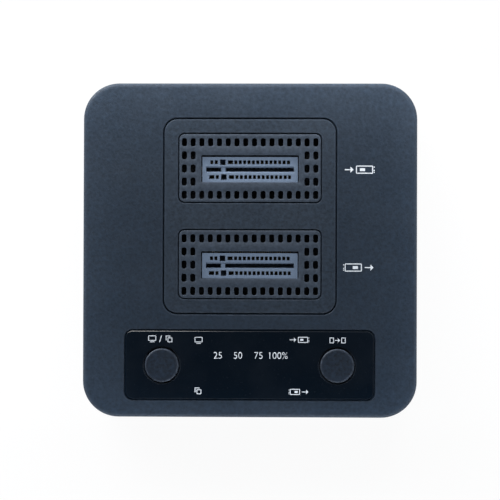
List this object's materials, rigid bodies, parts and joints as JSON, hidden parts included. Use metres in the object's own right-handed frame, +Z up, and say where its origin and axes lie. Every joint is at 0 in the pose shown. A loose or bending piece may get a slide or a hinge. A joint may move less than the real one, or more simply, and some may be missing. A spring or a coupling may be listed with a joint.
{
  "type": "drive duplicator",
  "caption": "Desktop drive duplicator: rounded square housing with vented bays for upright M.2 cards, glossy panel with round keys, rear ports and slide switch.",
  "frame": {"origin": "on the table under the middle of the housing", "axes": "+Z up, -Y towards the user and the control panel, +Y towards the rear connectors, +X to the user's right"},
  "size_m": [0.0762, 0.0762, 0.0344],
  "materials": {
    "housing_plastic": "fine spark-textured moulded ABS, dark blue grey",
    "insert_plastic": "fine spark-textured moulded ABS, dark",
    "grille_plastic": "satin moulded ABS, dark",
    "socket_plastic": "satin glass-filled nylon, grey blue",
    "panel_gloss": "polished black acrylic",
    "button_plastic": "satin moulded ABS",
    "foot_rubber": "soft black rubber",
    "screw_steel": "zinc-plated steel",
    "contact_gold": "gold-plated copper alloy",
    "tinned_metal": "tin-plated sheet",
    "connector_steel": "drawn stainless steel",
    "connector_plastic": "moulded black nylon",
    "adhesive_film": "black double-sided film",
    "plunger_plastic": "moulded acetal",
    "light_lens": "clear epoxy over a light chip",
    "board_laminate": "solder-masked glass laminate",
    "chip_epoxy": "black epoxy package",
    "choke_ferrite": "moulded ferrite",
    "capacitor_can": "drawn aluminium can"
  },
  "bodies": {
    "chassis": {"top_shell": "housing_plastic", "bottom_cover": "housing_plastic", "foot_front_left": "foot_rubber", "foot_front_right": "foot_rubber", "foot_rear_left": "foot_rubber", "foot_rear_right": "foot_rubber", "case_screws": "screw_steel", "bay_frame": "insert_plastic", "target_grille": "grille_plastic", "target_socket_housing": "socket_plastic", "target_socket_contacts": "contact_gold", "target_socket_anchors": "tinned_metal", "source_grille": "grille_plastic", "source_socket_housing": "socket_plastic", "source_socket_contacts": "contact_gold", "source_socket_anchors": "tinned_metal", "control_overlay": "panel_gloss", "overlay_adhesive": "adhesive_film", "mode_switch_base": "connector_plastic", "start_switch_base": "connector_plastic", "light_baffle": "connector_plastic", "percent_25_light": "light_lens", "percent_50_light": "light_lens", "percent_75_light": "light_lens", "percent_100_light": "light_lens", "computer_mode_light": "light_lens", "copy_mode_light": "light_lens", "target_light": "light_lens", "source_light": "light_lens", "main_board": "board_laminate", "board_screws": "screw_steel", "target_bridge_chip": "chip_epoxy", "source_bridge_chip": "chip_epoxy", "copy_controller_chip": "chip_epoxy", "target_choke": "choke_ferrite", "source_choke": "choke_ferrite", "input_capacitor": "capacitor_can", "usb_c_shell": "connector_steel", "usb_c_tongue": "connector_plastic", "dc_jack_body": "connector_plastic", "dc_jack_pin": "contact_gold", "dc_jack_spring": "tinned_metal", "power_switch_case": "tinned_metal", "power_switch_base": "connector_plastic"},
    "mode_key": {"mode_button": "button_plastic", "mode_switch_plunger": "plunger_plastic"},
    "start_key": {"start_button": "button_plastic", "start_switch_plunger": "plunger_plastic"},
    "power_slide": {"power_switch_slider": "connector_plastic"}
  },
  "joints": [
    {"name": "mode_button_press", "type": "slide", "parent": "chassis", "child": "mode_key", "axis": [0, 0, -1], "range_m": [0, 0.00035], "stiffness_N_per_m": 4000},
    {"name": "start_button_press", "type": "slide", "parent": "chassis", "child": "start_key", "axis": [0, 0, -1], "range_m": [0, 0.00035], "stiffness_N_per_m": 4000},
    {"name": "power_switch_slide", "type": "slide", "parent": "chassis", "child": "power_slide", "axis": [1, 0, 0], "range_m": [0, 0.0025]}
  ]
}
